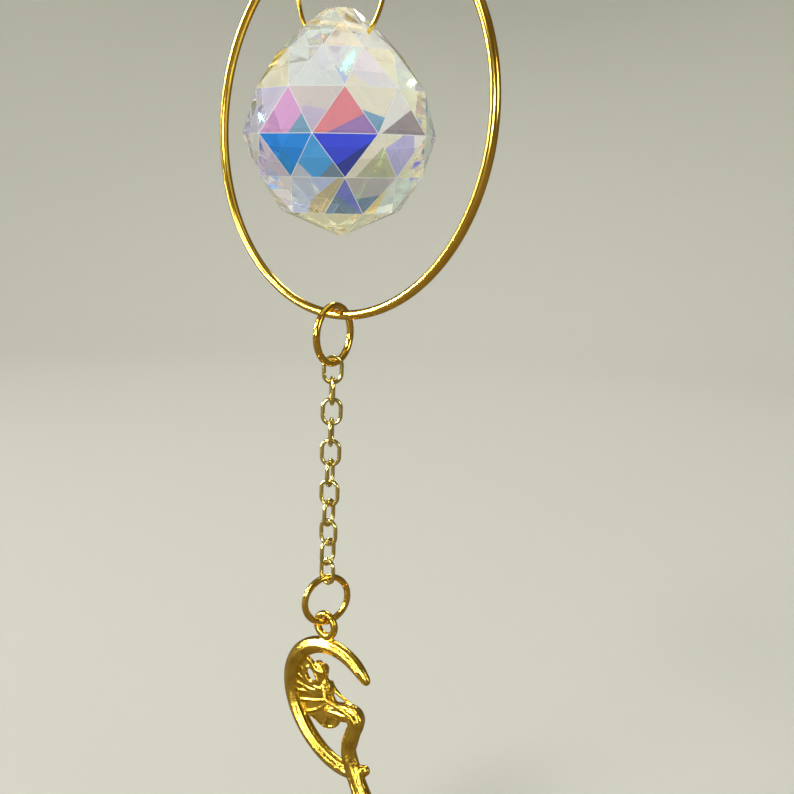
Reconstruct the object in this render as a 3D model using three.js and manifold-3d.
// Crystal suncatcher. A faceted crystal ball hangs inside a gold wire hoop, and a fine chain
// below the hoop carries a casting of a seated fairy on a crescent moon.
// Millimetres, +Z up, hoop in a plane parallel to XZ. The origin is the inner top of the
// hanging ring, where a hook bears.
import * as THREE from 'three';
import { ConvexGeometry } from 'three/addons/geometries/ConvexGeometry.js';
import { mergeVertices } from 'three/addons/utils/BufferGeometryUtils.js';
import Module from 'manifold-3d';

const wasm = await Module();
wasm.setup();

const { degToRad } = THREE.MathUtils;
const fullTurn = 2 * Math.PI;

// Clearance left where two wires bear on each other.
const play = 0.07;

const hangRing = { outer: 12, wire: 1.2, joint: 0.25, jointAt: 200, turn: 12 };
const jumpRing = { outer: 10.4, wire: 1.15, joint: 0.2, jointAt: 215 };
const topJumpTurn = 84;
const lowerJumpTurn = 101;
const charmRing = { outer: 9.1, wire: 1.1, joint: 0.2, jointAt: 35, turn: 73.5 };

// Chain links are closed ovals. Each is turned a little less than square to the one above.
const link = { length: 4.87, width: 3.6, wire: 0.68, step: 84, sides: 6, around: 12 };
const topChain = { count: 6, firstTurn: -72 };
const lowerChain = { count: 11, firstTurn: -121.5 };

// The hoop and the crystal's ring lie side by side in the top jump ring.
const hoop = { outer: 60, wire: 1.5, aside: 0.6 };
const crystalRing = { outer: 19.2, wire: 0.66, aside: -0.6, joint: 0.25, jointAt: 150, bend: 0.5 };

// The ball swings a little out of plumb on its ring.
const swing = { backward: 4.3, sideways: 1.7 };

// Rows of ten vertices, from the flat top down: radius, height over the girdle, and whether
// the row is set half a facet round from the girdle's.
const crystal = {
  drop: 30.4, turn: 13, facets: 10, tip: -15.3,
  bore: 2.0, boreHeight: 14.1,
  rows: [
    { radius: 2.4, height: 18.1, half: false },
    { radius: 5.2, height: 15.9, half: true },
    { radius: 9.35, height: 12.0, half: false },
    { radius: 13.2, height: 6.4, half: true },
    { radius: 15.0, height: 0, half: false },
    { radius: 13.05, height: -6.0, half: true },
    { radius: 9.3, height: -11.3, half: false },
  ],
};

// The moon's outer edge is a circle drawn out below, open to the right, and its lower part
// sways to that side. Places are in the charm's own plane: across from the line of the chain,
// and down from where its loop bears.
const moon = {
  radius: 11.6, drawnOut: 1.09, sway: 3.2, across: 1.5, down: 15.0, upperMouth: 42, lowerMouth: 56,
  band: 3.2, horn: 2.5, depth: 2.53, rounding: 0.04, sides: 8, steps: 30,
};
const bail = { outer: 5.2, wire: 1.3 };
const charmTurn = 4;

// The seated figure, as limbs: points across and down from the loop with a depth towards the
// back, then half widths in the charm's plane and through it at even steps along the limb.
const figure = {
  rounding: 1.6,
  head: { at: [-0.1, -9.9], depth: -0.2, size: [1.3, 1.25, 1.5] },
  bun: { at: [-1.25, -9.2], depth: 0, size: [0.85, 0.85, 0.8] },
  limbs: [
    { name: 'trunk', points: [[0.2, -10.8], [0.7, -12.2], [1.5, -14.2], [2.9, -16.4]],
      wide: [0.6, 1.1, 0.85, 1.4], deep: [0.6, 1.25, 0.9, 1.3], depth: -0.1, sides: 8, steps: 8 },
    { name: 'near arm', points: [[0.8, -12.1], [1.3, -13.0], [2.1, -13.9], [3.7, -14.15], [6.4, -14.35]],
      wide: [0.6, 0.45, 0.38, 0.34, 0.35], deep: [0.5, 0.45, 0.38, 0.32, 0.3], depth: -1.4, sides: 6, steps: 9 },
    { name: 'far arm', points: [[0.9, -12.1], [2.0, -13.3], [3.9, -13.9], [6.4, -14.1]],
      wide: [0.55, 0.42, 0.34, 0.32], deep: [0.5, 0.4, 0.34, 0.3], depth: 0.85, sides: 6, steps: 8 },
    { name: 'gown', points: [[2.2, -16.2], [3.8, -15.7], [5.4, -15.35], [7.9, -15.4], [7.5, -18.2], [6.7, -21.2],
      [7.4, -23.8], [8.9, -26.6], [10.9, -30.2]],
      wide: [1.3, 1.4, 1.45, 1.6, 1.35, 1.4, 1.5, 1.6, 1.7], deep: [1.3, 1.3, 1.35, 1.4, 1.2, 1.2, 1.3, 1.35, 1.4],
      depth: -0.55, sides: 8, steps: 18 },
    { name: 'near foot', points: [[10.1, -28.2], [11.3, -31.0], [12.2, -32.5]],
      wide: [0.7, 0.6, 0.4], deep: [0.7, 0.6, 0.4], depth: -1.0, sides: 6, steps: 5 },
    { name: 'far foot', points: [[9.8, -28.4], [10.8, -31.0], [11.5, -32.2]],
      wide: [0.65, 0.55, 0.35], deep: [0.65, 0.55, 0.35], depth: -0.2, sides: 6, steps: 5 },
  ],
  wings: {
    thick: 0.9, depth: 0.2,
    upper: { rim: [[0.6, -12.4], [-1.6, -10.8], [-4.0, -9.0], [-6.8, -9.2], [-8.3, -12.0],
      [-7.4, -15.2], [-4.0, -15.4], [-0.6, -14.6]],
      cell: [[-1.6, -12.2], [-3.4, -10.4], [-4.7, -11.4], [-3.4, -13.1]] },
    lower: { rim: [[0.4, -14.2], [-3.4, -15.0], [-6.6, -16.4], [-6.4, -18.8], [-2.6, -19.4],
      [1.2, -20.0], [3.4, -17.6]] },
  },
};

const gold = { hoop: 0xc09a2c, chain: 0xc4a23c, charm: 0xc9a12a };

function goldFinish(colour) {
  return new THREE.MeshStandardMaterial({ color: colour, roughness: 0.25, metalness: 1 });
}

function named(name, geometry, material) {
  const mesh = new THREE.Mesh(geometry, material);
  mesh.name = name;
  return mesh;
}

// Manifold-3d joins and cuts closed shapes, and three.js takes the result back.
function toSolid(geometry) {
  const bare = geometry.clone();
  bare.deleteAttribute('normal');
  bare.deleteAttribute('uv');
  const merged = mergeVertices(bare, 1e-4);
  return new wasm.Manifold(new wasm.Mesh({
    numProp: 3,
    vertProperties: new Float32Array(merged.attributes.position.array),
    triVerts: new Uint32Array(merged.index.array),
  }));
}

function toGeometry(solid) {
  const { vertProperties, triVerts } = solid.getMesh();
  const geometry = new THREE.BufferGeometry();
  geometry.setAttribute('position', new THREE.BufferAttribute(vertProperties, 3));
  geometry.setIndex(new THREE.BufferAttribute(triVerts, 1));
  geometry.computeVertexNormals();
  return geometry;
}

function wireAlong(path, diameter, sides, steps) {
  const section = new THREE.Shape().absarc(0, 0, diameter / 2, 0, fullTurn);
  return new THREE.ExtrudeGeometry(section, {
    steps, extrudePath: path, bevelEnabled: false, curveSegments: sides / 2,
  });
}

// A ring of round wire in the XZ plane, centred on its own origin, with a sawn joint.
class RingPath extends THREE.Curve {
  constructor(radius, joint, jointAt) {
    super();
    Object.assign(this, { radius, start: degToRad(jointAt), gap: joint / radius });
  }

  getPoint(t, target = new THREE.Vector3()) {
    const angle = this.start + this.gap / 2 + t * (fullTurn - this.gap);
    return target.set(this.radius * Math.cos(angle), 0, this.radius * Math.sin(angle));
  }
}

// The crystal's ring: a circle whose lower arc is drawn flat, where it runs through the bore.
class CrystalRingPath extends RingPath {
  constructor(radius, joint, jointAt, flatAt, bend) {
    super(radius, joint, jointAt);
    Object.assign(this, { flatAt, bend });
  }

  getPoint(t, target = new THREE.Vector3()) {
    super.getPoint(t, target);
    const above = target.z - this.flatAt;
    return target.setZ(this.flatAt + (above + Math.hypot(above, this.bend)) / 2);
  }
}

function jointedRing(size, sides, steps) {
  const path = new RingPath((size.outer - size.wire) / 2, size.joint, size.jointAt);
  return wireAlong(path, size.wire, sides, steps);
}

function hoopShape() {
  const shape = new THREE.TorusGeometry((hoop.outer - hoop.wire) / 2, hoop.wire / 2, 8, 80);
  return shape.rotateX(Math.PI / 2);
}

// A link is a torus drawn out along Z: its upper half goes up and its lower half down.
function linkShape() {
  const middle = (link.width - link.wire) / 2;
  const ring = new THREE.TorusGeometry(middle, link.wire / 2, link.sides, link.around);
  ring.rotateZ(Math.PI / link.around).rotateX(Math.PI / 2);
  const spots = ring.attributes.position;
  const half = (link.length - link.width) / 2;
  for (let i = 0; i < spots.count; i += 1) {
    spots.setZ(i, spots.getZ(i) + Math.sign(spots.getZ(i)) * half);
  }
  return ring;
}

function crystalShape() {
  const points = [new THREE.Vector3(0, 0, crystal.tip)];
  for (const row of crystal.rows) {
    for (let k = 0; k < crystal.facets; k += 1) {
      const angle = degToRad(crystal.turn) + (fullTurn / crystal.facets) * (k + (row.half ? 0.5 : 0));
      points.push(new THREE.Vector3(row.radius * Math.cos(angle), row.radius * Math.sin(angle), row.height));
    }
  }
  const bore = new THREE.CylinderGeometry(crystal.bore / 2, crystal.bore / 2, 4 * crystal.rows[0].height, 16);
  bore.rotateZ(Math.PI / 2).translate(0, 0, crystal.boreHeight);
  return toGeometry(toSolid(new ConvexGeometry(points)).subtract(toSolid(bore)));
}

// A closed body swept along a curve in the XZ plane. A sphere's rings are laid along the
// curve, each with its own half widths in the plane and through it.
function sweep(curve, halfWide, halfDeep, sides, steps) {
  const body = new THREE.SphereGeometry(1, sides, steps);
  const spots = body.attributes.position;
  const unit = new THREE.Vector3();
  for (let i = 0; i < spots.count; i += 1) {
    unit.fromBufferAttribute(spots, i);
    const t = Math.acos(THREE.MathUtils.clamp(unit.y, -1, 1)) / Math.PI;
    const around = Math.max(Math.hypot(unit.x, unit.z), 1e-9);
    const forward = curve.getTangent(t);
    const side = new THREE.Vector3(0, 1, 0).cross(forward).normalize();
    const through = forward.clone().cross(side).normalize();
    const spot = curve.getPoint(t);
    const closed = Math.hypot(unit.x, unit.z) < 1e-6 ? 0 : 1;
    spot.addScaledVector(side, closed * halfWide(t) * unit.x / around);
    spot.addScaledVector(through, closed * halfDeep(t) * unit.z / around);
    spots.setXYZ(i, spot.x, spot.y, spot.z);
  }
  body.computeVertexNormals();
  return toSolid(body);
}

// Half widths given at even steps, eased between, and rounded off over the two ends.
function taper(values, end) {
  return (t) => {
    const place = t * (values.length - 1);
    const step = Math.min(Math.floor(place), values.length - 2);
    const size = THREE.MathUtils.lerp(values[step], values[step + 1], place - step);
    const fromEnd = Math.min(t, 1 - t) / end;
    return fromEnd >= 1 ? size : size * Math.sqrt(1 - (1 - fromEnd) ** 2);
  };
}

class MoonPath extends THREE.Curve {
  getPoint(t, target = new THREE.Vector3()) {
    const angle = degToRad(THREE.MathUtils.lerp(moon.upperMouth, 360 - moon.lowerMouth, t));
    const middle = moon.radius - moonHalfBand(t);
    const height = middle * Math.sin(angle);
    const across = middle * Math.cos(angle) + moon.sway * ((1 - Math.sin(angle)) / 2) ** 2;
    return target.set(across, 0, height < 0 ? height * moon.drawnOut : height);
  }
}

function moonHalfBand(t) {
  return THREE.MathUtils.lerp(moon.horn, moon.band, Math.sin(Math.PI * t)) / 2;
}

function moonSolid() {
  const ends = taper([1, 1], moon.rounding);
  const wide = (t) => ends(t) * moonHalfBand(t);
  const deep = (t) => (moon.depth / moon.band) * wide(t);
  const body = sweep(new MoonPath(), wide, deep, moon.sides, moon.steps);
  return body.translate([moon.across, 0, -moon.down]);
}

function bailSolid() {
  const ring = new THREE.TorusGeometry((bail.outer - bail.wire) / 2, bail.wire / 2, 8, 20);
  return toSolid(ring.rotateX(Math.PI / 2).translate(0, 0, bail.wire - bail.outer / 2));
}

// A limb is rounded off over a little more than its last step.
function limbSolid({ points, wide, deep, depth, sides, steps }) {
  const path = new THREE.CatmullRomCurve3(points.map(([x, z]) => new THREE.Vector3(x, depth, z)));
  const end = figure.rounding / steps;
  return sweep(path, taper(wide, end), taper(deep, end), sides, steps);
}

function roundSolid({ at, depth, size }) {
  const ball = new THREE.SphereGeometry(1, 10, 8).scale(...size);
  return toSolid(ball.translate(at[0], depth, at[1]));
}

// A wing is a flat plate with a smooth rim, cut through where it is open between its veins.
function wingSolid({ rim, cell }) {
  const outline = (points) => new THREE.CatmullRomCurve3(
    points.map(([x, z]) => new THREE.Vector3(x, z, 0)), true,
  ).getPoints(points.length * 3).slice(0, -1).map(({ x, y }) => new THREE.Vector2(x, y));
  const { thick, depth } = figure.wings;
  const shape = new THREE.Shape(outline(rim));
  if (cell) shape.holes.push(new THREE.Path(outline(cell)));
  const plate = new THREE.ExtrudeGeometry(shape, { depth: thick, bevelEnabled: false });
  return toSolid(plate.rotateX(Math.PI / 2).translate(0, depth + thick / 2, 0));
}

function charmShape() {
  const { head, bun, limbs, wings } = figure;
  const forms = [bailSolid(), roundSolid(head), roundSolid(bun), ...limbs.map(limbSolid),
    wingSolid(wings.upper), wingSolid(wings.lower)];
  return toGeometry(forms.reduce((whole, form) => whole.add(form), moonSolid()));
}

// How far a wire lying to one side in the top jump ring rides up the ring's curve.
function rideUp(aside, wire) {
  const reach = (jumpRing.outer - jumpRing.wire) / 2 - jumpRing.wire / 2 - wire / 2;
  return reach - Math.sqrt(reach ** 2 - aside ** 2);
}

const suncatcher = new THREE.Group();
const hoopGold = goldFinish(gold.hoop);
const chainGold = goldFinish(gold.chain);
const charmGold = goldFinish(gold.charm);

// The string is built from the top down. bearing is the height of the wire that the next
// piece hangs on, and inner is that piece's reach from its middle to its inner edge.
let bearing = 0;

function hang(mesh, inner, turn, aside = 0) {
  mesh.position.set(0, aside, bearing + play - inner);
  mesh.rotation.z = degToRad(turn);
  suncatcher.add(mesh);
  bearing = mesh.position.z - inner;
}

function hangChain(prefix, { count, firstTurn }, aside = 0) {
  for (let i = 1; i <= count; i += 1) {
    const mesh = named(`${prefix}_${i}`, linkShape(), chainGold);
    hang(mesh, link.length / 2 - link.wire, firstTurn + link.step * (i - 1), aside);
  }
}

const jumpInner = jumpRing.outer / 2 - jumpRing.wire;
bearing = -play;
hang(named('hang_ring', jointedRing(hangRing, 8, 28), chainGold), hangRing.outer / 2 - hangRing.wire, hangRing.turn);
hangChain('top_link', topChain);
hang(named('top_jump_ring', jointedRing(jumpRing, 8, 28), chainGold), jumpInner, topJumpTurn);

const shelf = bearing;
const pendulum = new THREE.Group();
pendulum.position.set(0, crystalRing.aside, shelf + play + rideUp(crystalRing.aside, crystalRing.wire));
pendulum.rotation.set(degToRad(swing.backward), degToRad(swing.sideways), 0);
const ringMiddle = (crystalRing.outer - crystalRing.wire) / 2;
const ringDrop = crystalRing.outer / 2 - crystalRing.wire;
const boreDrop = crystal.drop - crystal.boreHeight;
const ringPath = new CrystalRingPath(
  ringMiddle, crystalRing.joint, crystalRing.jointAt, ringDrop - boreDrop, crystalRing.bend,
);
const ringMesh = named('crystal_ring', wireAlong(ringPath, crystalRing.wire, 6, 72), hoopGold);
ringMesh.position.z = -ringDrop;
const glass = new THREE.MeshStandardMaterial({
  color: 0xf0f3f2, roughness: 0.02, metalness: 0, transparent: true, opacity: 0.35,
});
const ballMesh = named('crystal', crystalShape(), glass);
ballMesh.position.z = -crystal.drop;
pendulum.add(ringMesh, ballMesh);
suncatcher.add(pendulum);

bearing = shelf + rideUp(hoop.aside, hoop.wire);
hang(named('hoop', hoopShape(), hoopGold), hoop.outer / 2 - hoop.wire, 0, hoop.aside);
hang(named('lower_jump_ring', jointedRing(jumpRing, 8, 28), chainGold), jumpInner, lowerJumpTurn, hoop.aside);
hangChain('lower_link', lowerChain, hoop.aside);
hang(named('charm_ring', jointedRing(charmRing, 8, 26), chainGold),
  charmRing.outer / 2 - charmRing.wire, charmRing.turn, hoop.aside);

const charm = named('moon_charm', charmShape(), charmGold);
charm.position.set(0, hoop.aside, bearing + play);
charm.rotation.z = degToRad(charmTurn);
suncatcher.add(charm);

export default suncatcher;
